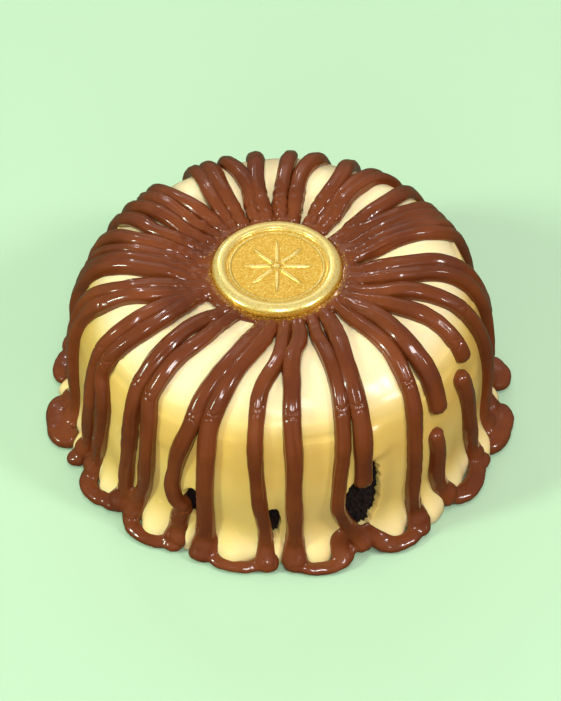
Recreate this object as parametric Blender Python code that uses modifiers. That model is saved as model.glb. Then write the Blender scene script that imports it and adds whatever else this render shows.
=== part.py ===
"""Bundt cake: a chocolate sponge ring under cream icing and chocolate ropes.

Blender 4.5, metres, +Z up. The origin is on the ring's axis, on the surface
that the cake stands on. The shown side of the cake faces -Y.

A bearing runs round the cake in degrees: 0 at the front (-Y), 90 at the
right (+X), 180 at the back and 270 at the left. A run is a length in mm
along the icing, from under the seal's edge over the crown and down the wall
to the foot. A bearing and a run give any place on the icing.
"""

import math

import bmesh
import bpy
import numpy as np
from mathutils import Vector

MM = 0.001
WELD = 0.01 * MM                # points closer than this are one
SMOOTH_ANGLE = math.radians(40) # faces that meet at more than this keep an edge

# The sponge ring
CROWN_RADIUS = 64 * MM          # where the ring is highest
CROWN_HEIGHT = 90 * MM
WALL_RADIUS = 98.6 * MM
WALL_TOP = 30 * MM              # below this height the wall is upright
ROUNDNESS = 2.4                 # of the shoulder: 2 is an ellipse, more is squarer
SEAT_RADIUS = 36 * MM           # inside this radius the top is level
SEAT_HEIGHT = 86.2 * MM
LIP_ROUND = 6 * MM              # rounding between the level seat and the hole
HOLE_TOP_RADIUS = 25 * MM
HOLE_BASE_RADIUS = 19.5 * MM
BASE_ROUND = 3 * MM

# The cream icing
GAP = 0.35 * MM                 # between the sponge and the icing laid on it
ICING = 5.2 * MM                # thickness of the cream on the sponge
ICING_BOTTOM = 0.4 * MM
MOUTH_RADIUS = 26.5 * MM        # the cream stops here, round the hole
FOOT_HEIGHT = 14 * MM           # below this height the icing spreads
FOOT_SPREAD = 6 * MM            # the least that it spreads at the floor

# The gold seal, which lies on the icing over the hole
SEAL_RADIUS = 31.9 * MM
SEAL_OFFSET = Vector((-1.8 * MM, 0, 0))
SEAL_THICKNESS = 6.5 * MM
SEAL_RIM = 9 * MM               # width of its raised rim
SEAL_DEPTH = 1.6 * MM           # from the rim down to the field
SEAL_CLEARANCE = 1.2 * MM       # from the seal's edge to the tips of the ropes

# The chocolate ropes
ROPE_LIFT = 1.2 * MM            # of a rope's middle above the cream
ROPE_FOOT = 4.4 * MM            # of a rope's middle above the floor at its end
RUN_START = 29 * MM             # radius at which a run is 0
FOOT_RUN = 155

# Faces round the ring and round the seal, and points along the sections
ROUND_STEPS = 72
SEAL_STEPS = 44
SPONGE_RINGS = 11
ICING_RINGS = 12

# Runs at which a long rope has a point, between the seal and the foot
ROPE_RINGS = (15, 31, 47, 62, 78, 104, 130, 147)

# Bearings of each rope that runs from the seal to the foot: by the seal, on
# the crown, on the shoulder, on the waist and at the foot, and its width in mm
STATIONS = (8, 30, 60, 100, FOOT_RUN)
LONG_ROPES = (
    (4, -0.7, -6.5, -6.1, -4, 7.4),
    (12, 5.7, 3.6, 3.6, 3.9, 8.6),
    (25, 21, 18.6, 15.8, 21.6, 7.2),
    (51, 44.3, 42.1, 38, 38.2, 8.2),
    (70, 73.6, 76.8, 79, 79, 9.2),
    (81, 83.6, 89.3, 90, 89, 8.6),
    (90, 92, 94, 95.5, 96, 8.4),
    (101, 105.7, 109.3, 112, 111, 8.6),
    (107, 110.7, 115, 117, 118, 8.2),
    (112, 114.5, 119, 122, 123, 7.2),
    (121, 122, 124.5, 127, 129, 7.8),
    (131, 131.5, 133, 134, 136, 8.6),
    (147, 146, 143.6, 142, 144, 8),
    (151, 149.5, 149, 149, 150, 8),
    (155, 154, 156.8, 158, 157, 8.6),
    (169, 172, 169.8, 170, 168, 8.6),
    (177, 178, 177.5, 177, 179, 7.8),
    (189, 190, 188.7, 187, 188, 8.6),
    (194, 196.5, 197, 195, 196, 8),
    (209, 209.3, 205.7, 203, 204, 8.6),
    (216, 214.5, 210.5, 209.5, 210, 7.6),
    (225, 225.7, 225, 221, 222, 9.2),
    (236.6, 236.4, 233.6, 232, 231, 8.2),
    (244, 243.6, 239.8, 239, 240, 8.2),
    (253.5, 253.2, 250, 249, 247, 8.6),
    (261, 260.7, 258.6, 257, 256, 9),
    (270.5, 270, 265.7, 264, 265, 9),
    (283, 281.5, 277.4, 274.5, 274, 8.6),
    (288, 288.6, 283.4, 280, 281, 8.6),
    (296, 295.4, 296.4, 297.2, 292.5, 8.2),
    (301, 301.5, 302.4, 304, 299.6, 8.6),
    (312, 313.6, 314.6, 316, 311.8, 8.6),
    (322, 322.9, 320, 322.1, 318, 8),
    (354.3, 346.4, 340.4, 339.9, 340, 8.6),
)

# Shorter ropes: first and last run, bearings at the start, one third, two
# thirds and the end, and the width in mm
SHORT_ROPES = (
    (8, 106, 38, 27.6, 23.2, 21.8, 8.8),
    (8, 88, 57, 53, 50, 48, 9.4),
    (8, 80, 62, 63.6, 65.3, 65, 9),
    (94, FOOT_RUN, 45.6, 46, 46.6, 51, 9),
    (80, FOOT_RUN, 60.5, 61.4, 63, 67, 8.6),
    (8, 126, 347, 336.6, 331.6, 334.6, 8.6),
    (128, FOOT_RUN, 333, 332.7, 332.3, 331.8, 8.8),
)

# Lobes in which chocolate and cream have run out over the floor: bearing, half
# width in degrees and reach in mm beyond the spread of the foot
LOBES = ((354, 5, 4), (13, 6, 4), (30, 7, 6), (43, 5, 5), (58, 8, 7), (79, 6, 9), (92, 5, 8),
         (105, 6, 6), (122, 7, 7), (140, 5, 5), (157, 7, 5), (176, 7, 4.5), (196, 7, 5),
         (214, 6, 5), (231, 7, 7), (249, 7, 8), (264, 5, 8), (279, 8, 9), (298, 7, 6),
         (315, 6, 6), (328, 6, 6), (343, 6, 4.5))

# Section of the foot: heights, and the part of the reach at each one
FOOT_HEIGHTS = (0.4 * MM, 2.2 * MM, 5 * MM, 8.5 * MM, FOOT_HEIGHT)
FOOT_PARTS = (0.9, 1, 0.68, 0.22, 0)

# Places where the cream has parted and the sponge shows: bearing, height of
# the middle, half width and half height in mm
PARTINGS = ((22, 40.5, 8.6, 18.5), (358, 30.5, 3, 7.6), (335.8, 32.5, 3.2, 7.6))


def new_collection(name):
    """A collection linked to the scene."""
    collection = bpy.data.collections.new(name)
    bpy.context.scene.collection.children.link(collection)
    return collection


def new_material(name, colour, roughness, metallic=0.0):
    """A Principled material of one plain finish."""
    material = bpy.data.materials.new(name)
    material.use_nodes = True
    shader = material.node_tree.nodes["Principled BSDF"]
    shader.inputs["Base Color"].default_value = (*colour, 1)
    shader.inputs["Roughness"].default_value = roughness
    shader.inputs["Metallic"].default_value = metallic
    return material


def around(bearing, radius, height):
    """The point at a bearing, a distance from the axis and a height."""
    angle = math.radians(bearing)
    return Vector((radius * math.sin(angle), -radius * math.cos(angle), height))


def ring_line(grow):
    """Fine line of (radius, height) from the hole's mouth to the base.

    It is the outside of the sponge grown outwards by grow, so the same
    function gives the sponge, the lining of the icing and its outside.
    """
    line = []
    for step in range(13):
        turn = math.radians(90 * step / 12)
        line.append((HOLE_TOP_RADIUS - grow + (LIP_ROUND + grow) * (1 - math.cos(turn)),
                     SEAT_HEIGHT - LIP_ROUND + (LIP_ROUND + grow) * math.sin(turn)))
    for step in range(25):
        part = step / 24
        radius = SEAT_RADIUS + (CROWN_RADIUS - SEAT_RADIUS) * part
        rise = (1 - math.cos(math.pi * part)) / 2
        line.append((radius, SEAT_HEIGHT + grow + (CROWN_HEIGHT - SEAT_HEIGHT) * rise))
    for step in range(1, 49):
        turn = math.radians(90 * step / 48)
        across = math.sin(turn) ** (2 / ROUNDNESS)
        down = max(math.cos(turn), 0) ** (2 / ROUNDNESS)
        line.append((CROWN_RADIUS + (WALL_RADIUS + grow - CROWN_RADIUS) * across,
                     WALL_TOP + (CROWN_HEIGHT + grow - WALL_TOP) * down))
    line.append((WALL_RADIUS + grow, BASE_ROUND))
    return np.array(line)


def lengths_along(line):
    """Distance of each point of a line from its first one."""
    steps = np.hypot(*np.diff(line, axis=0).T)
    return np.concatenate(([0], np.cumsum(steps)))


def spaced(grow, count):
    """Section of the ring grown by grow, as count evenly spaced points.

    The spacing is the sponge's for every grow, so that the facets of the
    icing's lining lie parallel to those of the sponge under it.
    """
    along = lengths_along(ring_line(0))
    line = ring_line(grow)
    wanted = np.linspace(0, along[-1], count)
    return [(np.interp(at, along, line[:, 0]), np.interp(at, along, line[:, 1]))
            for at in wanted]


def rope_guide():
    """The line that the middle of a rope follows, with its runs in mm."""
    line = ring_line(ICING + ROPE_LIFT)
    line = line[np.argmax(line[:, 0] >= SEAT_RADIUS):-1]
    foot = [(WALL_RADIUS + ICING + ROPE_LIFT + FOOT_SPREAD * (1 - low) ** 2,
             ROPE_FOOT + (FOOT_HEIGHT - ROPE_FOOT) * low) for low in (1, 0.75, 0.5, 0.25, 0)]
    line = np.vstack(((RUN_START, line[0, 1]), line, foot))
    return line, lengths_along(line) / MM


GUIDE, GUIDE_RUNS = rope_guide()


def on_icing(bearing, run):
    """The middle of a rope at a bearing and a run."""
    radius = np.interp(run, GUIDE_RUNS, GUIDE[:, 0])
    height = np.interp(run, GUIDE_RUNS, GUIDE[:, 1])
    return around(bearing, radius, height)


def smooth_through(places, values, at):
    """Value at a place, on a smooth curve through the values at the places."""
    slopes = np.gradient(values, places)
    index = int(np.clip(np.searchsorted(places, at) - 1, 0, len(places) - 2))
    span = places[index + 1] - places[index]
    t = (at - places[index]) / span
    start = values[index] * (1 + 2 * t) * (1 - t) ** 2
    start += slopes[index] * span * t * (1 - t) ** 2
    end = values[index + 1] * t * t * (3 - 2 * t)
    end += slopes[index + 1] * span * t * t * (t - 1)
    return start + end


def turned(name, section, steps):
    """A body turned about Z from a section of (radius, height).

    A section that ends on the axis stays open there, and any other closes.
    """
    mesh = bpy.data.meshes.new(name)
    points = [(radius, 0, height) for radius, height in section]
    edges = [(index, index + 1) for index in range(len(points) - 1)]
    if section[0][0] > 0:
        edges.append((len(points) - 1, 0))
    mesh.from_pydata(points, edges, [])
    ring = bpy.data.objects.new(name, mesh)
    bpy.context.scene.collection.objects.link(ring)
    screw = ring.modifiers.new("Turn", "SCREW")
    screw.steps = screw.render_steps = steps
    screw.use_merge_vertices = True
    screw.merge_threshold = WELD
    settle(ring)
    return ring


def settle(item):
    """Applies an object's modifiers, and turns its faces outwards."""
    depsgraph = bpy.context.evaluated_depsgraph_get()
    mesh = bpy.data.meshes.new_from_object(item.evaluated_get(depsgraph))
    item.modifiers.clear()
    item.data = mesh
    weld(mesh)


def weld(mesh):
    """Joins the points that meet, and turns the faces outwards."""
    shape = bmesh.new()
    shape.from_mesh(mesh)
    bmesh.ops.remove_doubles(shape, verts=shape.verts, dist=WELD)
    bmesh.ops.recalc_face_normals(shape, faces=shape.faces)
    shape.to_mesh(mesh)
    shape.free()


def keep_main_body(item):
    """Fills any hollow that the fusing sealed, and drops any loose scrap."""
    shape = bmesh.new()
    shape.from_mesh(item.data)
    bmesh.ops.triangulate(shape, faces=shape.faces)
    unseen = set(shape.faces)
    bodies = []
    while unseen:
        front = [unseen.pop()]
        body = list(front)
        while front:
            for edge in front.pop().edges:
                for face in edge.link_faces:
                    if face in unseen:
                        unseen.remove(face)
                        front.append(face)
                        body.append(face)
        bodies.append(body)
    bodies.sort(key=len)
    spare = [face for body in bodies[:-1] for face in body]
    bmesh.ops.delete(shape, geom=spare, context="FACES")
    shape.to_mesh(item.data)
    shape.free()


def finish(item, material, collection):
    """Gives an object its material, smooth shading and collection."""
    item.data.materials.clear()
    item.data.materials.append(material)
    item.data.shade_smooth()
    item.data.set_sharp_from_angle(angle=SMOOTH_ANGLE)
    for holder in item.users_collection:
        holder.objects.unlink(item)
    collection.objects.link(item)


def make_sponge():
    """The ring cake: flat base, tapered hole, rounded crown."""
    outside = spaced(0, SPONGE_RINGS)
    base = [(WALL_RADIUS - BASE_ROUND, 0), (HOLE_BASE_RADIUS, 0)]
    return turned("sponge", outside + base, ROUND_STEPS)


def foot_reach(bearing):
    """How far the icing has run out over the floor at a bearing."""
    reach = FOOT_SPREAD
    for middle, half_width, length in LOBES:
        away = abs((bearing - middle + 180) % 360 - 180) / half_width
        reach += length * MM * math.exp(-away * away)
    return reach


def make_icing_shell():
    """The cream as laid on the sponge, with its foot run out in lobes."""
    outside = [(MOUTH_RADIUS, SEAT_HEIGHT)]
    outside += [point for point in spaced(ICING, ICING_RINGS)
                if point[0] > MOUTH_RADIUS and point[1] > FOOT_HEIGHT]
    outside += [(WALL_RADIUS + ICING, height) for height in reversed(FOOT_HEIGHTS)]
    lining = [point for point in spaced(GAP, SPONGE_RINGS) if point[0] > MOUTH_RADIUS]
    lining.append((WALL_RADIUS + GAP, ICING_BOTTOM))
    shell = turned("icing", outside + lining[::-1], ROUND_STEPS)
    for vertex in shell.data.vertices:
        x, y, z = vertex.co
        radius = math.hypot(x, y)
        if radius > WALL_RADIUS + ICING / 2:
            out = foot_reach(math.degrees(math.atan2(x, -y)))
            out *= np.interp(z, FOOT_HEIGHTS, FOOT_PARTS)
            vertex.co.x *= 1 + out / radius
            vertex.co.y *= 1 + out / radius
    return shell


def ball(name, middle, half_sizes, bearing):
    """A round blob with its own half sizes across, out and up."""
    mesh = bpy.data.meshes.new(name)
    shape = bmesh.new()
    bmesh.ops.create_uvsphere(shape, u_segments=10, v_segments=5, radius=1)
    bmesh.ops.scale(shape, verts=shape.verts, vec=half_sizes)
    shape.to_mesh(mesh)
    shape.free()
    blob = bpy.data.objects.new(name, mesh)
    blob.rotation_euler = (0, 0, math.radians(bearing))
    blob.location = middle
    return blob


def rope(name, runs, bearings, width, collection):
    """A thick thread of chocolate along the icing, as a closed mesh."""
    curve = bpy.data.curves.new(name, "CURVE")
    curve.dimensions = "3D"
    curve.bevel_depth = width * MM / 2
    curve.bevel_resolution = 1
    curve.use_fill_caps = True
    spline = curve.splines.new("POLY")
    spline.points.add(len(runs) - 1)
    for point, run, bearing in zip(spline.points, runs, bearings):
        point.co = (*on_icing(bearing, run), 1)
        point.radius = rope_fullness(run, runs[0], runs[-1])
    thread = bpy.data.objects.new(name, curve)
    collection.objects.link(thread)
    depsgraph = bpy.context.evaluated_depsgraph_get()
    mesh = bpy.data.meshes.new_from_object(thread.evaluated_get(depsgraph))
    weld(mesh)
    solid = bpy.data.objects.new(name, mesh)
    solid.matrix_world = thread.matrix_world
    collection.objects.link(solid)
    bpy.data.objects.remove(thread)
    return solid


def rope_fullness(run, first, last):
    """Part of its full width that a rope has at a run."""
    by_seal = np.interp(run, (0, 16, 45, 75, 110, 147, 155), (0.62, 0.8, 1, 1.04, 0.92, 1.12, 0.62))
    from_start = 1 if first < 20 else np.interp(run - first, (0, 3, 14), (0.25, 0.6, 1))
    from_end = 1 if last > FOOT_RUN - 1 else np.interp(last - run, (0, 3, 12), (0.35, 0.75, 1))
    return by_seal * from_start * from_end


def clear_of_seal(bearing):
    """The shortest run at a bearing that keeps a rope off the seal."""
    across = math.sin(math.radians(bearing)) * SEAL_OFFSET.x
    return (SEAL_RADIUS + across + SEAL_CLEARANCE - RUN_START) / MM


def add_ropes(collection):
    """Every chocolate rope, from the seal outwards."""
    for number, row in enumerate(LONG_ROPES):
        runs = (clear_of_seal(row[0]), *ROPE_RINGS, FOOT_RUN)
        bearings = [smooth_through(STATIONS, row[:5], run) for run in runs]
        rope(f"long rope {number}", runs, bearings, row[5], collection)
    for number, row in enumerate(SHORT_ROPES):
        first = max(row[0], clear_of_seal(row[2]))
        places = np.linspace(row[0], row[1], 4)
        runs = np.linspace(first, row[1], max(6, int((row[1] - first) / 10)))
        bearings = [smooth_through(places, row[2:6], run) for run in runs]
        rope(f"short rope {number}", runs, bearings, row[6], collection)


def make_icing(cutters):
    """Cream and chocolate as one body, parted where the sponge shows."""
    shell = make_icing_shell()
    for number, (bearing, height, half_width, half_height) in enumerate(PARTINGS):
        middle = around(bearing, WALL_RADIUS + ICING / 2, height * MM)
        sizes = (half_width * MM, 2 * ICING, half_height * MM)
        cutter = ball(f"parting {number}", middle, sizes, bearing)
        cutter.hide_render = True
        cutter.display_type = "WIRE"
        cutters.objects.link(cutter)
        cut = shell.modifiers.new(f"Parting {number}", "BOOLEAN")
        cut.operation = "DIFFERENCE"
        cut.object = cutter
    toppings = new_collection("toppings")
    add_ropes(toppings)
    fuse = shell.modifiers.new("Fuse", "BOOLEAN")
    fuse.operation = "UNION"
    fuse.operand_type = "COLLECTION"
    fuse.collection = toppings
    settle(shell)
    keep_main_body(shell)
    for item in list(toppings.objects):
        bpy.data.objects.remove(item)
    bpy.data.collections.remove(toppings)
    return shell


def make_seal():
    """The round gold seal: raised rim, sunk field and a fine ring on it."""
    top = SEAT_HEIGHT + ICING + GAP + SEAL_THICKNESS
    bottom = top - SEAL_THICKNESS
    field = top - SEAL_DEPTH
    field_radius = SEAL_RADIUS - SEAL_RIM
    section = [
        (0, field),
        (field_radius - 5 * MM, field),
        (field_radius - 4.4 * MM, field + 0.5 * MM),
        (field_radius - 3.8 * MM, field),
        (field_radius, field),
        (field_radius + 1 * MM, top - 0.2 * MM),
        (field_radius + SEAL_RIM / 2, top),
        (SEAL_RADIUS - 1.6 * MM, top - 0.5 * MM),
        (SEAL_RADIUS, top - 2.4 * MM),
        (SEAL_RADIUS, bottom + 1.2 * MM),
        (SEAL_RADIUS - 1.2 * MM, bottom),
        (0, bottom),
    ]
    seal = turned("seal", section, SEAL_STEPS)
    seal.location = SEAL_OFFSET
    return seal


def main():
    for item in list(bpy.data.objects):
        bpy.data.objects.remove(item)
    cake = new_collection("bundt_cake")
    cutters = new_collection("cutters")
    finish(make_sponge(), new_material("chocolate sponge", (0.012, 0.006, 0.003), 0.9), cake)
    finish(make_icing(cutters), new_material("cream and chocolate icing", (0.78, 0.6, 0.3), 0.4), cake)
    finish(make_seal(), new_material("gold seal", (0.8, 0.5, 0.12), 0.35, 1.0), cake)


main()
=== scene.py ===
# %% [markdown]
# # A bundt cake under cream and chocolate
#
# The cake is a dark chocolate sponge baked in a ring tin. Cream icing was poured over it, thick
# ropes of chocolate were piped over the cream from the middle outwards, and a round gold seal
# was pressed on top. This lesson dresses the plain solids of that cake one piece at a time.
#
# The first step brings in the solids. They are the frame: they fix every size and place, and
# each piece made below stands where its solid stands.

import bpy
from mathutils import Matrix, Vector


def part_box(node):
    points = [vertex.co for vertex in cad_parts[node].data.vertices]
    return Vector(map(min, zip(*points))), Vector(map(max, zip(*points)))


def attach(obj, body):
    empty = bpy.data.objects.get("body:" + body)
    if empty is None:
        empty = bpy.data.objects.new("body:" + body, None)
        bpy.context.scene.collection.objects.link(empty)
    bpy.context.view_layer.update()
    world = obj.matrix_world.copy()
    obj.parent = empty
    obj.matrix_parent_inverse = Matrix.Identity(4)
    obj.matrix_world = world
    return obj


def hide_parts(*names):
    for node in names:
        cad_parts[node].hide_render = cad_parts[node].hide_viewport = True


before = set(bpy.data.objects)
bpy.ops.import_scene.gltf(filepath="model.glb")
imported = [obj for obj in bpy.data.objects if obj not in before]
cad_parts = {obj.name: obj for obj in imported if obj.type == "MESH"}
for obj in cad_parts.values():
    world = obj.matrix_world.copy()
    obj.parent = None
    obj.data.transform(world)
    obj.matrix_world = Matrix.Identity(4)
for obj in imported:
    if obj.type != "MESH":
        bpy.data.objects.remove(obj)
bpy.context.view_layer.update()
print("solids:", sorted(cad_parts))

# %% [markdown]
# Lengths in this lesson are written in millimetres, because that is how a cake is measured.
# Blender works in metres, so two small functions carry points in and out of a mesh and change
# the unit on the way. All the shaping in between is arithmetic on arrays of points, which is
# far quicker than moving points one by one.

# %% Points of a mesh in millimetres
import math

import bpy
import numpy as np

MM = 0.001


def points_of(piece):
    """Every point of a mesh, in mm."""
    found = np.empty(len(piece.data.vertices) * 3)
    piece.data.vertices.foreach_get("co", found)
    return found.reshape(-1, 3) / MM


def move_points(piece, points):
    """Puts every point of a mesh at its new place, given in mm."""
    piece.data.vertices.foreach_set("co", (np.asarray(points) * MM).ravel())
    piece.data.update()


# %% [markdown]
# The cake's own sizes come from the solids, so that nothing here has to be fitted by eye. The
# sponge gives the wall's radius and the height of the crown, and the seal gives its own radius,
# place and height.

# %% Sizes read from the solids
sponge_low, sponge_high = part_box("sponge")
seal_low, seal_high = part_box("seal")

WALL_RADIUS = sponge_high.x / MM
CROWN_HEIGHT = sponge_high.z / MM
SEAL_RADIUS = (seal_high.y - seal_low.y) / 2 / MM
SEAL_MIDDLE = (seal_high.x + seal_low.x) / 2 / MM
SEAL_TOP = seal_high.z / MM
SEAL_BOTTOM = seal_low.z / MM
print(f"wall radius {WALL_RADIUS:.1f} mm, crown {CROWN_HEIGHT:.1f} mm high")
print(f"seal radius {SEAL_RADIUS:.1f} mm, {SEAL_TOP - SEAL_BOTTOM:.1f} mm thick")

# %% [markdown]
# The cake looks the same all the way round, so its shape is one line: the outside of the sponge
# from the mouth of the hole, over the crown and down the wall. Grown by a few millimetres, the
# same line is the outside of the cream. The shoulder is a superellipse, which is squarer than
# an ellipse, as a cake from a fluted tin is once the cream has filled the flutes.

# %% The line of the cake's section
CROWN_RADIUS = 64
WALL_TOP = 30
ROUNDNESS = 2.4
SEAT_RADIUS = 36
SEAT_HEIGHT = 86.2
LIP_ROUND = 6
HOLE_TOP_RADIUS = 25
HOLE_BASE_RADIUS = 19.5
BASE_ROUND = 3


def ring_line(grow):
    """Points (radius, height) of the sponge's outside, grown outwards by grow."""
    turn = np.radians(np.linspace(0, 90, 13))
    lip = np.stack((HOLE_TOP_RADIUS - grow + (LIP_ROUND + grow) * (1 - np.cos(turn)),
                    SEAT_HEIGHT - LIP_ROUND + (LIP_ROUND + grow) * np.sin(turn)), 1)
    part = np.linspace(0, 1, 25)
    top = np.stack((SEAT_RADIUS + (CROWN_RADIUS - SEAT_RADIUS) * part,
                    SEAT_HEIGHT + grow
                    + (CROWN_HEIGHT - SEAT_HEIGHT) * (1 - np.cos(np.pi * part)) / 2), 1)
    turn = np.radians(np.linspace(0, 90, 61)[1:])
    across = np.sin(turn) ** (2 / ROUNDNESS)
    down = np.maximum(np.cos(turn), 0) ** (2 / ROUNDNESS)
    shoulder = np.stack((CROWN_RADIUS + (WALL_RADIUS + grow - CROWN_RADIUS) * across,
                         WALL_TOP + (CROWN_HEIGHT + grow - WALL_TOP) * down), 1)
    base = np.array([(WALL_RADIUS + grow, BASE_ROUND)])
    return np.concatenate((lip, top, shoulder, base))


def lengths_along(line):
    """Distance of each point of a line from its first one."""
    return np.concatenate(([0], np.cumsum(np.hypot(*np.diff(line, axis=0).T))))


def evenly(line, spacing):
    """The same line with a point about every spacing."""
    along = lengths_along(line)
    at = np.linspace(0, along[-1], int(along[-1] / spacing) + 1)
    return np.stack((np.interp(at, along, line[:, 0]), np.interp(at, along, line[:, 1])), 1)


print(f"the section is {lengths_along(ring_line(0))[-1]:.0f} mm long")

# %% [markdown]
# A place on the icing is given by two numbers, as on a map. The bearing goes round the cake in
# degrees: 0 at the front and 90 at the right. The run is the length in mm from under the seal's
# edge, over the crown and down to the foot, then on over the table. The guide is the line that
# the middle of a rope of chocolate follows, a little above the cream.

# %% The guide for everything that lies on the icing
ICING = 5.2
ROPE_LIFT = 1.2
RUN_START = 29
FOOT_HEIGHT = 14
FOOT_SPREAD = 6
ROPE_FOOT = 4.4
TABLE_STRETCH = 12


def rope_guide():
    """Fine line of (radius, height) that the middle of a rope follows, and its runs."""
    line = ring_line(ICING + ROPE_LIFT)
    line = line[np.argmax(line[:, 0] >= SEAT_RADIUS):-1]
    low = np.linspace(1, 0, 9)
    foot = np.stack((WALL_RADIUS + ICING + ROPE_LIFT + FOOT_SPREAD * (1 - low) ** 2,
                     ROPE_FOOT + (FOOT_HEIGHT - ROPE_FOOT) * low), 1)
    table = foot[-1] + np.array([(2, -0.9), (5, -1.5), (TABLE_STRETCH, -1.9)])
    line = np.vstack(([RUN_START, line[0, 1]], line, foot, table))
    line = evenly(line, 1)
    return line, lengths_along(line)


GUIDE, GUIDE_RUNS = rope_guide()
GUIDE_SLOPE = np.gradient(GUIDE, axis=0)
GUIDE_OUT = np.stack((-GUIDE_SLOPE[:, 1], GUIDE_SLOPE[:, 0]), 1)
GUIDE_OUT /= np.linalg.norm(GUIDE_OUT, axis=1, keepdims=True)


def around(bearing, radius, height):
    """Points at bearings in degrees, distances from the axis and heights."""
    angle = np.radians(bearing)
    return np.stack((radius * np.sin(angle), -radius * np.cos(angle),
                     height + 0 * angle), -1)


def on_guide(bearing, run):
    """Points of the guide, and the directions straight out of the icing there."""
    place = around(bearing, np.interp(run, GUIDE_RUNS, GUIDE[:, 0]),
                   np.interp(run, GUIDE_RUNS, GUIDE[:, 1]))
    out = around(bearing, np.interp(run, GUIDE_RUNS, GUIDE_OUT[:, 0]),
                 np.interp(run, GUIDE_RUNS, GUIDE_OUT[:, 1]))
    return place, out / np.linalg.norm(out, axis=-1, keepdims=True)


print(f"guide: {GUIDE_RUNS[-1]:.0f} mm long")

# %% [markdown]
# Poured food is never perfectly even. The unevenness here is a sum of a few waves that run in
# random directions. The draw is seeded, so the cake comes out the same each time, and the size
# says how far apart the swells lie in mm.

# %% A gentle unevenness


def swell(points, size, seed, waves=14):
    """A smooth uneven value, mostly from -1 to 1, at every point."""
    draw = np.random.default_rng(seed)
    directions = draw.normal(size=(waves, points.shape[-1]))
    directions /= np.linalg.norm(directions, axis=1, keepdims=True)
    directions *= math.tau / size * draw.uniform(0.6, 1.3, (waves, 1))
    heights = np.cos(points @ directions.T + draw.uniform(0, math.tau, waves))
    return heights.sum(-1) / math.sqrt(waves)


def eased(value, low, high):
    """0 below low, 1 above high and a smooth step between them."""
    part = np.clip((value - low) / (high - low), 0, 1)
    return part * part * (3 - 2 * part)


def away_from(bearing, middle):
    """Signed degrees from a bearing to another, the short way round."""
    return (bearing - middle + 180) % 360 - 180


print("swell at three points:", swell(np.eye(3) * 10, 20, 1).round(2))

# %% [markdown]
# The camera looks down on the cake at the photograph's angle. A long lens from a metre away
# keeps the ring nearly round, as a food photographer would have it.

# %% Camera
CAMERA_DISTANCE = 0.996
CAMERA_DOWN = math.radians(47.79)
TARGET_HEIGHT = 0.0352

bpy.ops.object.select_all(action="DESELECT")
bpy.ops.object.camera_add(
    location=(0, -CAMERA_DISTANCE * math.cos(CAMERA_DOWN),
              TARGET_HEIGHT + CAMERA_DISTANCE * math.sin(CAMERA_DOWN)),
    rotation=(math.pi / 2 - CAMERA_DOWN, 0, 0))
camera = bpy.context.object
camera.name = "camera"
camera.data.lens = 100.1
camera.data.sensor_width = 36
bpy.context.scene.camera = camera
bpy.context.scene.view_settings.view_transform = "Standard"
print("camera at", [round(value, 3) for value in camera.location])

# %% [markdown]
# Colours are picked as the hex values of a paint program, which are sRGB. A shader adds up
# light, so it needs linear values, and one function turns one into the other. A pattern's scale
# counts its grains in a metre, so a second function works it out from their size. A third one
# adds a shader node with its settings and links, so that each material reads as a list.

# %% Helpers for materials


def linear(hex_colour):
    """Linear red, green, blue and alpha of a colour such as '#91512d'."""
    parts = [int(hex_colour[start:start + 2], 16) / 255 for start in (1, 3, 5)]
    return (*(part / 12.92 if part <= 0.04045 else ((part + 0.055) / 1.055) ** 2.4
              for part in parts), 1)


def grains(size):
    """Scale of a pattern whose grains are about a size in mm wide."""
    return 1 / (size * MM)


def new_material(name):
    """An empty node tree with an output, ready for a shader."""
    material = bpy.data.materials.new(name)
    material.use_nodes = True
    material.node_tree.nodes.clear()
    return material


def add(material, kind, settings=None, **inputs):
    """Adds a node. An input is a value, or the output socket that feeds it.

    An input goes by its name, or by its number where names repeat: i0 is the first.
    """
    node = material.node_tree.nodes.new(kind)
    for name, value in (settings or {}).items():
        setattr(node, name, value)
    for name, value in inputs.items():
        numbered = name[1:].isdigit()
        socket = node.inputs[int(name[1:]) if numbered else name.replace("_", " ")]
        if isinstance(value, bpy.types.NodeSocket):
            material.node_tree.links.new(value, socket)
        else:
            socket.default_value = value
    return node


def ramp(material, factor, stops):
    """A colour ramp through (place, hex colour) stops."""
    node = add(material, "ShaderNodeValToRGB", Fac=factor)
    while len(node.color_ramp.elements) < len(stops):
        node.color_ramp.elements.new(0.5)
    for element, (place, colour) in zip(node.color_ramp.elements, stops):
        element.position = place
        element.color = linear(colour)
    return node.outputs["Color"]


def finish_surface(material, shader):
    """Links a shader to the material's output."""
    add(material, "ShaderNodeOutputMaterial", Surface=shader.outputs[0])
    return material


print("cream in linear light:", [round(value, 3) for value in linear("#e9d094")[:3]])

# %% [markdown]
# ## The room
#
# A pale floor with a mint tint stands in for a paper backdrop. It is one wide sheet, so the
# camera never sees an edge. A sheet of that size would light the cake too strongly from below,
# so the cake's shading and gloss don't see it, and the lower half of the sky gives a dim mint
# light instead, as a small sheet of paper would.
#
# The gloss on the chocolate mirrors the lights, so their shapes are the shapes of its
# highlights. Tall narrow panels at the front, the right and the left draw the long streaks down
# the ropes, and a faint wide panel and a small one stand behind the cake. Four wide fills only
# lighten the shadows: the gloss doesn't see them.

# %% Floor and light
FLOOR_SIZE = 8
SKY_ABOVE = 0.28
SKY_BELOW = 0.15
SKY_RISE = (-0.12, 0.45)
HORIZON = 0.1
PANEL_DISTANCE = 4


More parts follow.
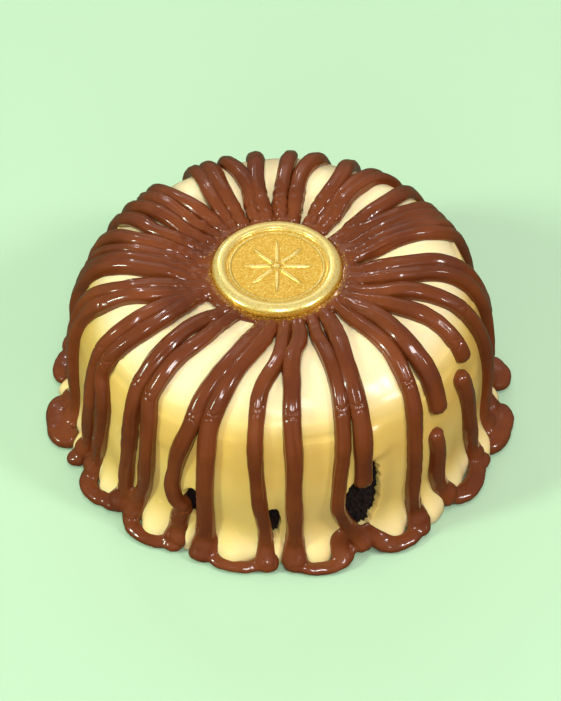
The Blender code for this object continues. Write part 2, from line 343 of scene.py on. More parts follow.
def make_floor():
    """A wide pale sheet under the cake."""
    bpy.ops.object.select_all(action="DESELECT")
    bpy.ops.mesh.primitive_plane_add(size=FLOOR_SIZE, location=(0, 0, 0))
    floor = bpy.context.object
    floor.name = "floor"
    paper = new_material("backdrop paper")
    shader = add(paper, "ShaderNodeBsdfPrincipled", Base_Color=linear("#b2d1ae"), Roughness=0.9)
    floor.data.materials.append(finish_surface(paper, shader))
    floor.visible_diffuse = False
    floor.visible_glossy = False


def soft_panel(name, bearing, elevation, size, power, tint="#ffffff", tall=1.0):
    """A light that faces the cake from a bearing and an elevation, tall times as high as wide."""
    lift = math.radians(elevation)
    place = around(bearing, PANEL_DISTANCE * math.cos(lift), PANEL_DISTANCE * math.sin(lift))
    bpy.ops.object.light_add(type="AREA", location=tuple(place))
    panel = bpy.context.object
    panel.name = name
    panel.data.shape = "RECTANGLE"
    panel.data.size = size
    panel.data.size_y = size * tall
    panel.data.energy = power
    panel.data.color = linear(tint)[:3]
    panel.rotation_euler = (math.pi / 2 - lift, 0, math.radians(bearing))
    return panel


make_floor()
# Bearing and elevation in degrees, width in m and power in W
soft_panel("front panel", 8, 55, 0.48, 52, tall=2.6)
soft_panel("right panel", 66, 42, 0.42, 48, tall=2.2)
soft_panel("left panel", -70, 34, 0.42, 84, "#e6fbe4", tall=2.2)
soft_panel("back panel", 180, 45, 1.6, 5)
soft_panel("glint panel", 200, 38, 0.24, 9, tall=2)
low_fill = soft_panel("low fill", -8, 14, 2.8, 50)
top_fill = soft_panel("top fill", 0, 89, 2.4, 54)
left_fill = soft_panel("left fill", -78, 12, 2, 20, "#ecfbf2")
back_fill = soft_panel("back fill", 176, 16, 2.8, 24)
for fill in (low_fill, top_fill, left_fill, back_fill):
    fill.visible_glossy = False


def make_sky():
    """A pale sky above the table's level, and a dim mint light below it."""
    sky = bpy.data.worlds.new("pale sky")
    sky.use_nodes = True
    sky.node_tree.nodes.clear()
    direction = add(sky, "ShaderNodeTexCoord").outputs["Generated"]
    upward = add(sky, "ShaderNodeSeparateXYZ", Vector=direction).outputs["Z"]
    strength = add(sky, "ShaderNodeMapRange", {"interpolation_type": "SMOOTHSTEP"}, Value=upward,
                   From_Min=SKY_RISE[0], From_Max=SKY_RISE[1], To_Min=SKY_BELOW,
                   To_Max=SKY_ABOVE)
    level = add(sky, "ShaderNodeMapRange", Value=upward, From_Min=-HORIZON, From_Max=HORIZON)
    colour = ramp(sky, level.outputs["Result"], ((0, "#c4e6bb"), (1, "#fbf9f4")))
    light = add(sky, "ShaderNodeBackground", Color=colour, Strength=strength.outputs["Result"])
    add(sky, "ShaderNodeOutputWorld", Surface=light.outputs[0])
    return sky


bpy.context.scene.world = make_sky()

# %% [markdown]
# ## Turned pieces
#
# Sponge, cream and seal are all turned shapes. A potter's wheel would make them from one
# profile, and so does the Spin operator: a circle of points is added, the points are moved onto
# the section, and edit mode spins it once round. The seam is merged, and the normals are set to
# point outwards while the shape is still plain.

# %% Spin a section into a body
WELD = 0.01 * MM


def turned(name, section, steps):
    """A closed body spun about Z from a loop of (radius, height) points in mm."""
    bpy.ops.object.select_all(action="DESELECT")
    bpy.ops.mesh.primitive_circle_add(vertices=len(section), radius=1)
    piece = bpy.context.object
    piece.name = piece.data.name = name
    move_points(piece, [(radius, 0, height) for radius, height in section])
    bpy.ops.object.mode_set(mode="EDIT")
    bpy.ops.mesh.select_all(action="SELECT")
    bpy.ops.mesh.spin(steps=steps, angle=math.tau, center=(0, 0, 0), axis=(0, 0, 1))
    bpy.ops.mesh.select_all(action="SELECT")
    bpy.ops.mesh.remove_doubles(threshold=WELD)
    bpy.ops.mesh.delete_loose()
    bpy.ops.mesh.select_all(action="SELECT")
    bpy.ops.mesh.normals_make_consistent(inside=False)
    bpy.ops.object.mode_set(mode="OBJECT")
    bpy.ops.object.shade_smooth()
    return piece


def subdivide_where(piece, chosen, cuts):
    """Splits the faces whose points are all chosen, to hold finer relief."""
    bpy.ops.object.select_all(action="DESELECT")
    piece.select_set(True)
    bpy.context.view_layer.objects.active = piece
    bpy.ops.object.mode_set(mode="EDIT")
    bpy.ops.mesh.select_mode(type="VERT")
    bpy.ops.mesh.select_all(action="DESELECT")
    bpy.ops.object.mode_set(mode="OBJECT")
    piece.data.vertices.foreach_set("select", chosen)
    bpy.ops.object.mode_set(mode="EDIT")
    bpy.ops.mesh.select_mode(type="FACE")
    bpy.ops.mesh.subdivide(number_cuts=cuts)
    bpy.ops.object.mode_set(mode="OBJECT")


def map_of(points):
    """Bearing in degrees, distance from the axis and height of every point."""
    bearing = np.degrees(np.arctan2(points[:, 0], -points[:, 1]))
    return bearing, np.hypot(points[:, 0], points[:, 1]), points[:, 2]


def normals_of(piece):
    """The direction straight out of the surface at every point."""
    found = np.empty(len(piece.data.vertices) * 3)
    piece.data.vertices.foreach_get("normal", found)
    return found.reshape(-1, 3)


# %% [markdown]
# ## The partings
#
# Low on the front the cream has run apart in three places, and the dark sponge shows through.
# Each parting is made of ovals on the map of bearing and run, with an uneven edge. One function
# says how deep inside a parting a point lies, and both the cream and the sponge use it. Round a
# parting the sponge bulges out a little, and the cream over it thins to a lip.

# %% Where the cream has parted
WALL_ARC = math.radians(1) * (WALL_RADIUS + ICING)
PARTING_BULGE = 2.6
PARTING_REACH = -10

# Bearing, run, half width and half height of each oval, in degrees and mm
PARTING_OVALS = ((21.8, 119, 9.6, 17.5), (25.2, 106, 3.6, 12), (22.2, 133, 4.8, 7),
                 (358, 125.5, 3.8, 10.5), (336, 121.5, 4.6, 10.5))


def run_at_height(height):
    """The run on the wall of a height in mm."""
    wall = GUIDE_RUNS > 60
    return np.interp(-height, -GUIDE[wall, 1], GUIDE_RUNS[wall])


def inside_parting(bearing, height, ragged=1):
    """How far inside a parting's edge, ragged or smooth, a point of the wall lies, in mm."""
    run = run_at_height(height)
    best = np.full(bearing.shape, -99.0)
    for middle, middle_run, half_width, half_height in PARTING_OVALS:
        across = away_from(bearing, middle) * WALL_ARC / half_width
        along = (run - middle_run) / half_height
        best = np.maximum(best, (1 - np.hypot(across, along)) * min(half_width, half_height))
    edge = np.stack((bearing * WALL_ARC, run), -1)
    return best + ragged * (0.35 * swell(edge, 6, 41) + 0.12 * swell(edge, 2, 42))


def near_parting(bearing, height):
    """0 far from a parting and 1 at its edge, rising smoothly."""
    return eased(inside_parting(bearing, height, 0), PARTING_REACH, -0.5)


print("partings:", len(PARTING_OVALS), "ovals make three")

# %% [markdown]
# ## Sponge
#
# The sponge is a dark, moist chocolate crumb. Only three patches of it show, through the
# partings, so the mesh is fine only there: the faces behind the partings are subdivided, and
# each point is then pushed in or out by two sizes of crumb. A displacement modifier could do
# the same from a texture, but moving the points leaves a plain mesh that any program can read.

# %% Shape the sponge
SPONGE_STEPS = 300
CRUMB_CUTS = 4
CRUST = 6
CRUMB = 2.6
FINE_CRUMB = 1.1
PIT = 3.6


def make_sponge():
    """The ring of sponge, with torn crumb where it shows."""
    section = np.vstack((evenly(ring_line(0), 2.2),
                         [(WALL_RADIUS - 1, 0.8), (WALL_RADIUS - BASE_ROUND, 0),
                          (HOLE_BASE_RADIUS, 0)]))
    sponge = turned("sponge_crumb", section, SPONGE_STEPS)
    bearing, radius, height = map_of(points_of(sponge))
    shows = (radius > WALL_RADIUS - CRUST) & (inside_parting(bearing, height) > PARTING_REACH)
    subdivide_where(sponge, shows, CRUMB_CUTS)
    points = points_of(sponge)
    bearing, radius, height = map_of(points)
    outside = radius > WALL_RADIUS - CRUST
    torn = eased(inside_parting(bearing, height), -2.5, 0) * outside
    bulge = PARTING_BULGE * near_parting(bearing, height) * outside
    crumb = 0.55 * swell(points, CRUMB, 3) + 0.4 * swell(points, FINE_CRUMB, 4)
    pits = -0.9 * eased(swell(points, PIT, 5), 0.7, 1.5)
    rough = np.where(height > 0.5, 0.12 * swell(points, 9, 6), 0)
    points += normals_of(sponge) * (torn * (crumb + pits) + rough + bulge)[:, None]
    move_points(sponge, points)
    return sponge


sponge = make_sponge()
print("sponge:", len(sponge.data.polygons), "faces")

# %% [markdown]
# Moist cocoa crumb is nearly black, with a dull sheen on its sugar. The colour swings a little
# between black and brown over a few mm. Fine bump stands for crumb too small to model, and
# tiny glossy specks stand for the damp grains that catch the light.

# %% Material: chocolate sponge crumb


def make_crumb_material():
    """Baked cocoa sponge: dark, rough and open, with damp specks."""
    crumb = new_material("chocolate sponge crumb")
    place = add(crumb, "ShaderNodeTexCoord").outputs["Object"]
    tone = add(crumb, "ShaderNodeTexNoise", Vector=place, Scale=grains(2.381), Detail=4.0)
    colour = ramp(crumb, tone.outputs["Fac"],
                  ((0.3, "#0a0504"), (0.55, "#170b07"), (0.75, "#2d140b")))
    specks = add(crumb, "ShaderNodeTexVoronoi", Vector=place, Scale=grains(1.429))
    damp = add(crumb, "ShaderNodeMapRange", Value=specks.outputs["Distance"], From_Min=0.1,
               From_Max=0.2, To_Min=0.12, To_Max=0.9)
    bump = add(crumb, "ShaderNodeBump", Height=tone.outputs["Fac"], Strength=0.8, Distance=0.0006)
    shader = add(crumb, "ShaderNodeBsdfPrincipled", Base_Color=colour,
                 Roughness=damp.outputs["Result"], Normal=bump.outputs["Normal"])
    shader.inputs["Specular IOR Level"].default_value = 0.35
    return finish_surface(crumb, shader)


sponge.data.materials.append(make_crumb_material())
print("crumb material on", sponge.name)

# %% [markdown]
# ## Cream
#
# The cream was poured while it was thick. It lies about 5 mm deep over the sponge and hangs in
# rounded tongues between the ropes at the foot. Each tongue is a smooth bump in how far the
# foot reaches, so a list of bearings, widths and reaches draws them all.

# %% Tongues of cream at the foot
CREAM_SPREAD = 4

# Bearing, half width in degrees and reach in mm of each tongue
TONGUES = ((9.4, 3.7, 9), (30, 4.4, 8), (44, 4.2, 9.5), (54, 3.6, 6), (69.6, 4, 11),
           (87, 2.6, 9), (100, 4, 8), (114, 3, 7), (126.5, 4.2, 9), (139, 4.6, 9), (147, 2, 7),
           (163, 4.6, 9), (174, 2.4, 7), (183.5, 4, 9), (192, 2.4, 7), (200, 4, 9),
           (215, 4.6, 8), (227, 2.4, 7), (245, 4.2, 9), (259, 2, 7), (270, 3, 10),
           (290.4, 2.2, 9), (307.8, 3.6, 7), (325.8, 4, 9.4), (335.4, 1.2, 6.5), (348.6, 5.4, 8.8),
           (359.3, 1, 6))


def tongue_reach(bearing):
    """How far the cream has run out over the table at each bearing."""
    reach = CREAM_SPREAD + 0 * bearing
    for middle, half_width, length in TONGUES:
        reach += (length - CREAM_SPREAD) * np.exp(-(away_from(bearing, middle) / half_width) ** 4)
    return reach


print("tongues:", len(TONGUES))

# %% [markdown]
# The cream has slow swells in it. A second pour left a soft ledge high on the wall, with a
# shallow crease along it. The piece starts as a turned shell with its lining. The faces are
# made finer only along the edges of the partings, and then the points are moved: out for the
# swells and tongues, and in, past the sponge, at the partings.

# %% Shape the cream
CREAM_STEPS = 480
EDGE_HALF = 4.6
EDGE_CUTS = 3
GAP = 0.35
ICING_BOTTOM = 0.4
MOUTH_RADIUS = 26.5
THINNING = 1.1
SUNK = 11
LEDGE = 2
CREASE_RUN = 81
CREASE_HALF = 1.8
CREASE_DEPTH = 0.9


def cream_section():
    """Loop of (radius, height): the outside of the cream, its foot and its lining."""
    outside = evenly(ring_line(ICING), 1.5)
    outside = outside[(outside[:, 0] > MOUTH_RADIUS) & (outside[:, 1] > FOOT_HEIGHT)]
    outside = np.vstack(([MOUTH_RADIUS, SEAT_HEIGHT + 0.6],
                         [MOUTH_RADIUS - 0.6, SEAT_HEIGHT + 2.6], outside))
    foot = [(WALL_RADIUS + ICING, height) for height in np.linspace(FOOT_HEIGHT - 0.6, 1.4, 15)]
    foot += [(WALL_RADIUS + ICING - 0.5, 0.7), (WALL_RADIUS + ICING - 1.4, ICING_BOTTOM)]
    lining = evenly(ring_line(GAP), 4)
    lining = lining[lining[:, 0] > MOUTH_RADIUS]
    lining = np.vstack((lining, [WALL_RADIUS + GAP, ICING_BOTTOM]))
    return np.vstack((outside, foot, lining[::-1]))


def foot_part(height):
    """Part of a tongue's reach at each height: a rounded nose that hangs over its base."""
    return np.interp(height, (0.4, 1.5, 3, 5, 7, 9, 11.5, 14.5, 18, 22, 26),
                     (0.92, 1, 1, 0.98, 0.92, 0.8, 0.58, 0.34, 0.16, 0.05, 0))


def line_height(radius):
    """Height of the middle of the cream's thickness over the crown at a radius."""
    line = ring_line(ICING / 2)
    top = line[:, 1] > 70
    return np.interp(radius, line[top, 0], line[top, 1], right=999)


def ledge_on(bearing, radius, height):
    """How far the second pour's ledge stands out from the wall, with its crease, in mm."""
    run = run_at_height(height)
    ledge = LEDGE * (0.45 - eased(run, 65, 82) + 0.55 * eased(run, 82, 89))
    wander = 3 * swell(bearing[:, None], 60, 11)
    ledge -= CREASE_DEPTH * np.exp(-((run - CREASE_RUN + wander) / CREASE_HALF) ** 2)
    return ledge * (radius > 90) * (0.6 + 0.4 * swell(bearing[:, None], 70, 9))


def make_cream():
    """The shell of cream with its swells, tongues, ledge and partings."""
    cream = turned("cream_icing", cream_section(), CREAM_STEPS)
    bearing, radius, height = map_of(points_of(cream))
    near_edge = np.abs(inside_parting(bearing, height) - 1) < EDGE_HALF
    subdivide_where(cream, near_edge & (radius > WALL_RADIUS - 3), EDGE_CUTS)
    points = points_of(cream)
    bearing, radius, height = map_of(points)
    outer = np.maximum(eased(radius, WALL_RADIUS + 1.5, WALL_RADIUS + 3),
                       height > line_height(radius))
    stretched = points * (1, 1, 0.45)
    uneven = 0.55 * swell(stretched, 34, 7) + 0.16 * swell(stretched, 13, 8)
    relief = outer * (uneven + ledge_on(bearing, radius, height))
    points += normals_of(cream) * relief[:, None]
    wall = radius > WALL_RADIUS - 3
    pushed = (PARTING_BULGE - outer * THINNING) * near_parting(bearing, height)
    sunk = SUNK * eased(inside_parting(bearing, height), -0.3, 1.3)
    reach = tongue_reach(bearing) * foot_part(height) * (radius > WALL_RADIUS + 3)
    reach *= 1 + 0.1 * swell(bearing[:, None], 9, 10)
    scale = (radius + reach + wall * (pushed - sunk)) / radius
    points[:, :2] *= scale[:, None]
    points[:, 2] = np.maximum(points[:, 2], ICING_BOTTOM)
    move_points(cream, points)
    return cream


cream = make_cream()
print("cream:", len(cream.data.polygons), "faces")

# %% [markdown]
# This cream is condensed milk cooked with butter: pale yellow, dense, and so smooth that it has
# a satin gloss. Light goes a few mm into it, which softens its shadows, so the shader has
# subsurface scattering with more red than blue. The tone follows the height, partly for the
# cream's depth and partly as painted light. The top is painted palest, a painted sheen on the
# thick cream. Just under the shoulder, where the cream is thinnest over the dark sponge, painted
# shade deepens its colour. It pales again towards the foot, where the cream is thicker, with a
# very slow unevenness that keeps the wall from looking like plastic.

# %% Material: cooked cream icing

# Height in mm where the cream's tone starts to pale, where it stops, and by how much. This is
# partly the cream's depth and partly painted light: the top row is a painted sheen, and the dark
# band left just under the shoulder is painted shade.
CREAM_DEPTH_AND_PAINTED_LIGHT = ((70, 97, 0.95), (62, 46, 0.15), (26, 7, 0.4))


def make_cream_material():
    """Cooked milk and butter cream: pale, dense and satin."""
    cream = new_material("cooked cream icing")
    place = add(cream, "ShaderNodeTexCoord").outputs["Object"]
    slow = add(cream, "ShaderNodeTexNoise", Vector=place, Scale=grains(35.71), Detail=2.0)
    height = add(cream, "ShaderNodeSeparateXYZ", Vector=place).outputs["Z"]
    # This sum is the cream's depth plus painted light: a painted sheen on top and painted shade
    # under the shoulder
    thick = 0
    for start, end, gain in CREAM_DEPTH_AND_PAINTED_LIGHT:
        layer = add(cream, "ShaderNodeMapRange", {"interpolation_type": "SMOOTHSTEP"}, Value=height,
                    From_Min=start * MM, From_Max=end * MM, To_Min=0.0, To_Max=gain)
        total = add(cream, "ShaderNodeMath", {"operation": "ADD"}, i0=layer.outputs["Result"],
                    i1=thick)
        thick = total.outputs["Value"]
    tone = add(cream, "ShaderNodeMath", {"operation": "MULTIPLY_ADD"}, i0=slow.outputs["Fac"],
               i1=0.4, i2=thick)
    colour = ramp(cream, tone.outputs["Value"],
                  ((0.18, "#d9b25a"), (0.36, "#e6c46c"), (0.6, "#edd084"), (1.1, "#f6e2b0")))
    fine = add(cream, "ShaderNodeTexNoise", Vector=place, Scale=grains(6.25), Detail=2.0)
    gloss = add(cream, "ShaderNodeMapRange", Value=fine.outputs["Fac"], To_Min=0.2, To_Max=0.3)
    bump = add(cream, "ShaderNodeBump", Height=fine.outputs["Fac"], Strength=0.12, Distance=0.001)
    shader = add(cream, "ShaderNodeBsdfPrincipled", Base_Color=colour,
                 Roughness=gloss.outputs["Result"], Normal=bump.outputs["Normal"])
    shader.inputs["Subsurface Weight"].default_value = 0.35
    shader.inputs["Subsurface Radius"].default_value = (1.0, 0.55, 0.2)
    shader.inputs["Subsurface Scale"].default_value = 3 * MM
    shader.inputs["IOR"].default_value = 1.45
    return finish_surface(cream, shader)


cream.data.materials.append(make_cream_material())
print("cream material on", cream.name)

# %% [markdown]
# ## Ropes of chocolate
#
# The ropes were piped from the seal outwards in quick strokes, so no two are alike. Each one is
# a route: a line of places, and "26@40" is bearing 26 at run 40. They were read off the cake
# one by one, because their wandering is what the eye knows the cake by. The number after a
# rope's route is its width in mm.

# %% Routes of the ropes at the front
FRONT_ROPES = (
    ("4@7 -0.7@30 -6.6@50 -7@65 -6.4@90 -5.7@110 -4@130 -3.6@145 -3.4@156", 7.2),
    ("13.6@4 10@20 5.7@30 3.9@50 3.4@75 3.6@100 3.7@125 3.6@145 3.8@156", 8.2),
    ("25.7@4 21.4@20 21@30 19.3@50 18.6@60 17.5@75 16.4@90 15.4@106 15.1@119 17.1@130 19.6@140"
     " 21.8@148 22.6@152", 7.2),
    ("38@8 32@20 28.6@30 25.7@40 24.3@50 23.6@60 23.2@70 22.5@88 21.8@107", 8.6),
    ("51@10 44.3@30 42.9@50 42.1@60 41@70 39.6@80 38.6@90 38@100 37.6@112 37.9@130 38.4@146"
     " 38@155", 8.0),
    ("57@9 53.6@30 51.4@40 50@50 49.3@70 48@88", 9.6),
    ("45.7@95 46.2@105 45.9@125 47.1@135 49@144 51@153", 9.0),
    ("61@14 62.9@24 63.6@30 64.6@40 65.4@55 65@70 64.6@79", 8.8),
    ("60@79 61.4@100 62.9@125 65@140 66.5@152", 8.8),
    ("318@9 314@20 313.6@30 314.8@50 314.6@60 314.3@70 315@80 316@95 315.4@112 314.6@125"
     " 313.4@140 311.8@154", 8.2),
    ("324@9 322.4@20 322.9@30 320.7@50 320@60 319.6@70 321.4@80 322.1@100 321.4@125 318.6@140"
     " 317.6@154", 8.0),
    ("347@7 342@25 340@35 337.5@50 335.7@60 334.6@70 333.2@80 332.1@90 331.4@102 330.6@113"
     " 331.6@121 335.2@127.6", 8.4),
    ("334@123 333.2@129 332.6@136 332.4@145 331.9@154", 8.8),
    ("354@8 349.3@20 346.4@30 343.6@40 341.8@50 340.4@60 339.6@70 340@85 339.9@106 340@125"
     " 339.7@140 339.6@154", 8.4),
)
print("front ropes:", len(FRONT_ROPES))

# %% Routes of the ropes at the sides and the back
RIGHT_ROPES = (
    ("69@9 72.1@25 73.6@30 75@40 75.7@50 76.8@60 77.5@70 78.6@100 78@130 76.4@154", 8.8),
    ("80@8 82@16 83.6@30 85.7@40 87.9@50 89.3@60 89.6@80 89@110 86@135 81.6@154", 8.4),
    ("88@9 92@30 93.6@52 94.3@70 95@100 94.4@130 93.4@154", 8.2),
    ("103@8 105.5@18 107.6@30 108.5@42 109.4@56 111.6@70 112.8@85 112.6@110 110.6@154", 8.4),
    ("108@9 111.6@30 113@50 115.4@64 117@80 118@120 118.6@154", 8.0),
    ("110@9 113@30 115.6@50 118@62 121@90 122.4@154", 6.8),
    ("114@9 117@30 118.6@50 121@70 124@110 124.4@150", 7.4),
    ("124@10 122.5@24 121.5@38 122@50 123.8@62 125.5@78 129@120 130.6@154", 7.6),
    ("127.5@9 129@24 130@40 131.4@50 133.4@64 133.6@85 134.6@120 135@154", 8.4),
    ("142.5@8 144.5@18 145.5@30 144.6@44 143.6@56 141.4@72 142@110 143.6@154", 7.8),
    ("147.5@10 148@25 148@39 147@52 146.6@64 148@85 149@120 151@154", 8.0),
    ("157@10 155.5@18 154@30 154.2@42 155.5@52 156.6@70 158@120 156.4@154", 8.6),
    ("169.5@9 171.5@22 171@38 169.2@48 167@60 166.5@72 168@110 168.4@154", 8.4),
)
BACK_ROPES = (
    ("179@8 180.4@14 179@28 177.6@41 177@55 177@75 176@110 178.6@154", 7.8),
    ("190@8 192@30 190.5@42 189@55 188.2@70 186.6@110 187.6@154", 8.2),
    ("199@8 197.6@18 196@28 197@40 199@55 198.6@66 196@85 194.4@110 196@154", 8.2),
    ("211@8 209@27 208@38 206.5@50 205.4@62 204@75 202.6@110 203.6@154", 8.4),
    ("219@8 217.5@18 215.5@30 212@45 210.6@56 209.3@68 209@110 210.6@154", 7.6),
    ("225@8 225.5@20 226.5@32 227@47 226@60 222.5@78 219.5@110 220.6@154", 8.2),
    ("232.5@8 234@25 233@37 231.5@50 229.5@64 226@80 223.6@115 224.6@154", 7.6),
    ("240.5@8 242.6@22 240@35 237.5@47 236@60 233.6@76 231.6@100 230.6@154", 8.2),
    ("249.5@8 249.5@25 248.6@38 245.5@48 243@58 240.5@70 239@100 240@154", 8.0),
    ("262@8 258@17 256.5@30 256@44 253@57 250.5@68 249@100 247@154", 8.4),
    ("267.5@8 264@18 262@35 260.5@48 258@60 256@72 253.5@100 252.4@154", 6.4),
    ("274.5@8 270.5@20 268@32 266@46 264@60 261@74 258@100 256@154", 8.8),
    ("284@10 278@18 274@28 271@40 268.5@51 265.6@64 262.6@82 262@110 265.4@154", 8.8),
    ("287.5@10 284.5@23 282@38 280@50 277.5@59 275@72 273.6@100 274@154", 8.4),
    ("291.5@9 290@25 288@37 286@44 282.9@57 280@68 278@84 279@120 280.6@154", 8.4),
    ("294@10 295@25 296.4@41 296.8@50 296.4@60 295.4@70 295.7@80 297@90 297.5@100 296.4@112"
     " 295@125 293.6@137 292.5@152", 8.0),
    ("289@11 293.6@15 299.3@25 302.9@40 302.6@50 301.4@60 300.4@70 300@80 302.9@90 303.9@100"
     " 303.6@112 302.1@125 300@140 299.3@153", 8.4),
)
print("ropes at the sides and the back:", len(RIGHT_ROPES) + len(BACK_ROPES))

# %% [markdown]
# A rope is drawn a little thin where it leaves the seal and runs fat and flat where it meets
# the foot. Its size on the way is one curve through a few measured places, and so is the way
# that it wanders, because a stroke of the hand has no corners.

# %% The way and the size of a rope
SEAL_CLEARANCE = 0.5


def smooth_through(places, values, at):
    """Values on a smooth curve through the given ones."""
    slopes = np.gradient(values, places)
    index = np.clip(np.searchsorted(places, at) - 1, 0, len(places) - 2)
    span = places[index + 1] - places[index]
    t = (at - places[index]) / span
    return (values[index] * (1 + 2 * t) * (1 - t) ** 2
            + slopes[index] * span * t * (1 - t) ** 2
            + values[index + 1] * t * t * (3 - 2 * t)
            + slopes[index + 1] * span * t * t * (t - 1))


def read_route(text):
    """Bearings and runs of a route such as '4@7 -0.7@30'."""
    places = np.array([place.split("@") for place in text.split()], float)
    bearing = np.unwrap(places[:, 0], period=360)
    return bearing, places[:, 1]


def fullness(run):
    """Part of its full width that a rope has on its way from the seal to the foot."""
    return np.interp(run, (0, 8, 18, 45, 75, 110, 132, 141, 149, 160),
                     (0.74, 0.9, 1.04, 1.08, 1.08, 1.02, 1.06, 1.22, 1.42, 1.42))


def flatness(run):
    """Height of a rope's section for its width: it sags flat at the foot."""
    return np.interp(run, (0, 130, 148, 160), (0.93, 0.93, 0.76, 0.72))


def from_seal(bearing, run):
    """The route with its first place, where that is near the seal, brought up to its edge."""
    if run[0] < 20:
        edge = SEAL_RADIUS + SEAL_MIDDLE * math.sin(math.radians(bearing[0])) - RUN_START
        run = np.concatenate(([edge + SEAL_CLEARANCE], np.maximum(run[1:], edge + 4)))
    return bearing, run


def rope_path(route, stretch, seed):
    """The middle of a rope: its first bearing, and lengths with runs, places, sides and ups."""
    bearing, run = from_seal(*read_route(route))
    place, _ = on_guide(bearing, run)
    along = np.concatenate(([0], np.cumsum(np.linalg.norm(np.diff(place, axis=0), axis=1))))
    at = np.linspace(0, along[-1], 400)
    path_run = smooth_through(along, run, at)
    if stretch:
        kept = at[(path_run >= stretch[0]) & (path_run <= stretch[1])]
        at = np.linspace(kept[0], kept[-1], 200)
        path_run = smooth_through(along, run, at)
    path_bearing = smooth_through(along, bearing, at)
    path_bearing += 0.2 * swell(at[:, None], 46, seed + 500)
    path, out = on_guide(path_bearing, path_run)
    path = path + out * (0.2 * swell(at[:, None], 40, seed + 600))[:, None]
    heading = np.gradient(path, at, axis=0)
    heading /= np.linalg.norm(heading, axis=1, keepdims=True)
    side = np.cross(heading, out)
    side /= np.linalg.norm(side, axis=1, keepdims=True)
    return bearing[0], at, path_run, path, side, np.cross(side, heading)


print(f"a rope has {fullness(50):.2f} of its width on the crown, {fullness(150):.2f} at the foot")

# %% [markdown]
# Piped chocolate isn't a smooth pipe. It has streaks along it from the nozzle and knuckles
# where the hand paused: a swollen ring with a crease on each side, which runs slantwise round
# the rope. Near the seal the skin is wrinkled as well, most deeply towards the back left.

# %% Knuckles, streaks and wrinkles
STREAKS = 0.32
WRINKLED_SIDE = 215
WRINKLE_SIZE = 5.5
CREASE_SPAN = 3.4

# Ridges round the rope, and the part of the full depth that each count has
RIDGES = ((3, 0.5), (5, 0.45), (8, 0.35), (11, 0.25))


def knuckle_relief(run, turn, half, knuckle, draw):
    """How far a knuckle stands out, with the creases on each side of it, in mm."""
    middle, strength = knuckle
    away = run - middle
    shift = draw.uniform(-14, 14)
    from_crest = np.abs(away_from(np.degrees(turn), 90 + shift)) * math.radians(half)
    upper = away - 0.5 + draw.uniform(0.7, 1.1) * from_crest
    lower = away - 1.2 - draw.uniform(0.4, 0.8) * from_crest
    creased = np.exp(-(from_crest / CREASE_SPAN) ** 6)
    return strength * (0.16 * np.exp(-(away / 3.2) ** 2)
                       - creased * (0.62 * np.exp(-(upper / 0.4) ** 2)
                                    + 0.5 * np.exp(-(lower / 0.42) ** 2)))


def streak_relief(along, turn, seed, draw):
    """The ridges that the nozzle left along a rope, in mm."""
    twisted = turn + 0.18 * swell(along[:, None], 60, seed + 300)
    phases = draw.uniform(0, math.tau, len(RIDGES))
    streaks = sum(np.cos(count * twisted + phase) * depth
                  for (count, depth), phase in zip(RIDGES, phases))
    return streaks * (STREAKS * (0.8 + 0.4 * swell(along[:, None], 40, seed + 400)))


def wrinkle_relief(along, turn, half, run, first_bearing, seed):
    """Wrinkles in a rope's skin near the seal, in mm."""
    deep = (1 + math.cos(math.radians(first_bearing - WRINKLED_SIDE))) / 2
    unrolled = np.stack((along, turn * half), 1)
    return ((0.1 + 0.36 * deep) * swell(unrolled, WRINKLE_SIZE, seed + 700)
            * (1 - eased(run, 14, 36)))


print("ridges round a rope:", [count for count, _ in RIDGES])

# %% [markdown]
# A curve with a round bevel couldn't hold that relief, so each rope is a grid rolled into a
# tube. The columns of the grid go round the rope and its rows go along it, so every point knows
# both, and its UV map lies along the rope as well. The rows crowd together at a knuckle, where
# the creases are fine. The tips shrink to a point in a round curve, and the seam is merged.

# %% Roll a grid into a rope
ROPE_SIDES = 36
RING_SPACING = 1.35
CROWDING = 3
SQUARENESS = 2.25
FLOOR_CLEARANCE = 0.3


def rows_along(at, path_run, knuckles, spacing):
    """The number of rows up to each length of a rope."""
    crowding = np.zeros_like(at)
    for middle, _ in knuckles:
        crowding += CROWDING * np.exp(-((path_run - middle) / 5) ** 4)
    return np.concatenate(([0], np.cumsum(np.diff(at) * (1 + crowding[1:])))) / spacing


def flat_grid(name, sides, rows, at):
    """A flat grid, with the turn round the rope and the length along it of every point."""
    bpy.ops.object.select_all(action="DESELECT")
    bpy.ops.mesh.primitive_grid_add(x_subdivisions=sides, y_subdivisions=int(rows[-1]), size=1)
    grid = bpy.context.object
    grid.name = grid.data.name = name
    corners = np.empty(len(grid.data.vertices) * 3)
    grid.data.vertices.foreach_get("co", corners)
    corners = corners.reshape(-1, 3) + 0.5
    return grid, corners[:, 0] * math.tau, np.interp(corners[:, 1] * rows[-1], rows, at)


def close_tube(rope, width, rows, at):
    """Merges the seam and the tips of a rolled grid, and gives its UV map real sizes."""
    bpy.ops.object.mode_set(mode="EDIT")
    bpy.ops.mesh.select_all(action="SELECT")
    bpy.ops.mesh.remove_doubles(threshold=WELD)
    bpy.ops.mesh.normals_make_consistent(inside=False)
    bpy.ops.object.mode_set(mode="OBJECT")
    bpy.ops.object.shade_smooth()
    uv = rope.data.uv_layers.active
    spots = np.empty(len(uv.data) * 2)
    uv.data.foreach_get("uv", spots)
    spots = spots.reshape(-1, 2)
    spots[:, 1] = np.interp(spots[:, 1] * rows[-1], rows, at) * MM
    spots[:, 0] *= width * math.pi * MM
    uv.data.foreach_set("uv", spots.ravel())


def rounded_tip(distance, length):
    """Part of a rope's size at a distance from its tip, which is rounded over a length."""
    part = np.minimum(distance / length, 1)
    return np.sqrt(np.clip(1 - (1 - part) ** 2, 0, 1))


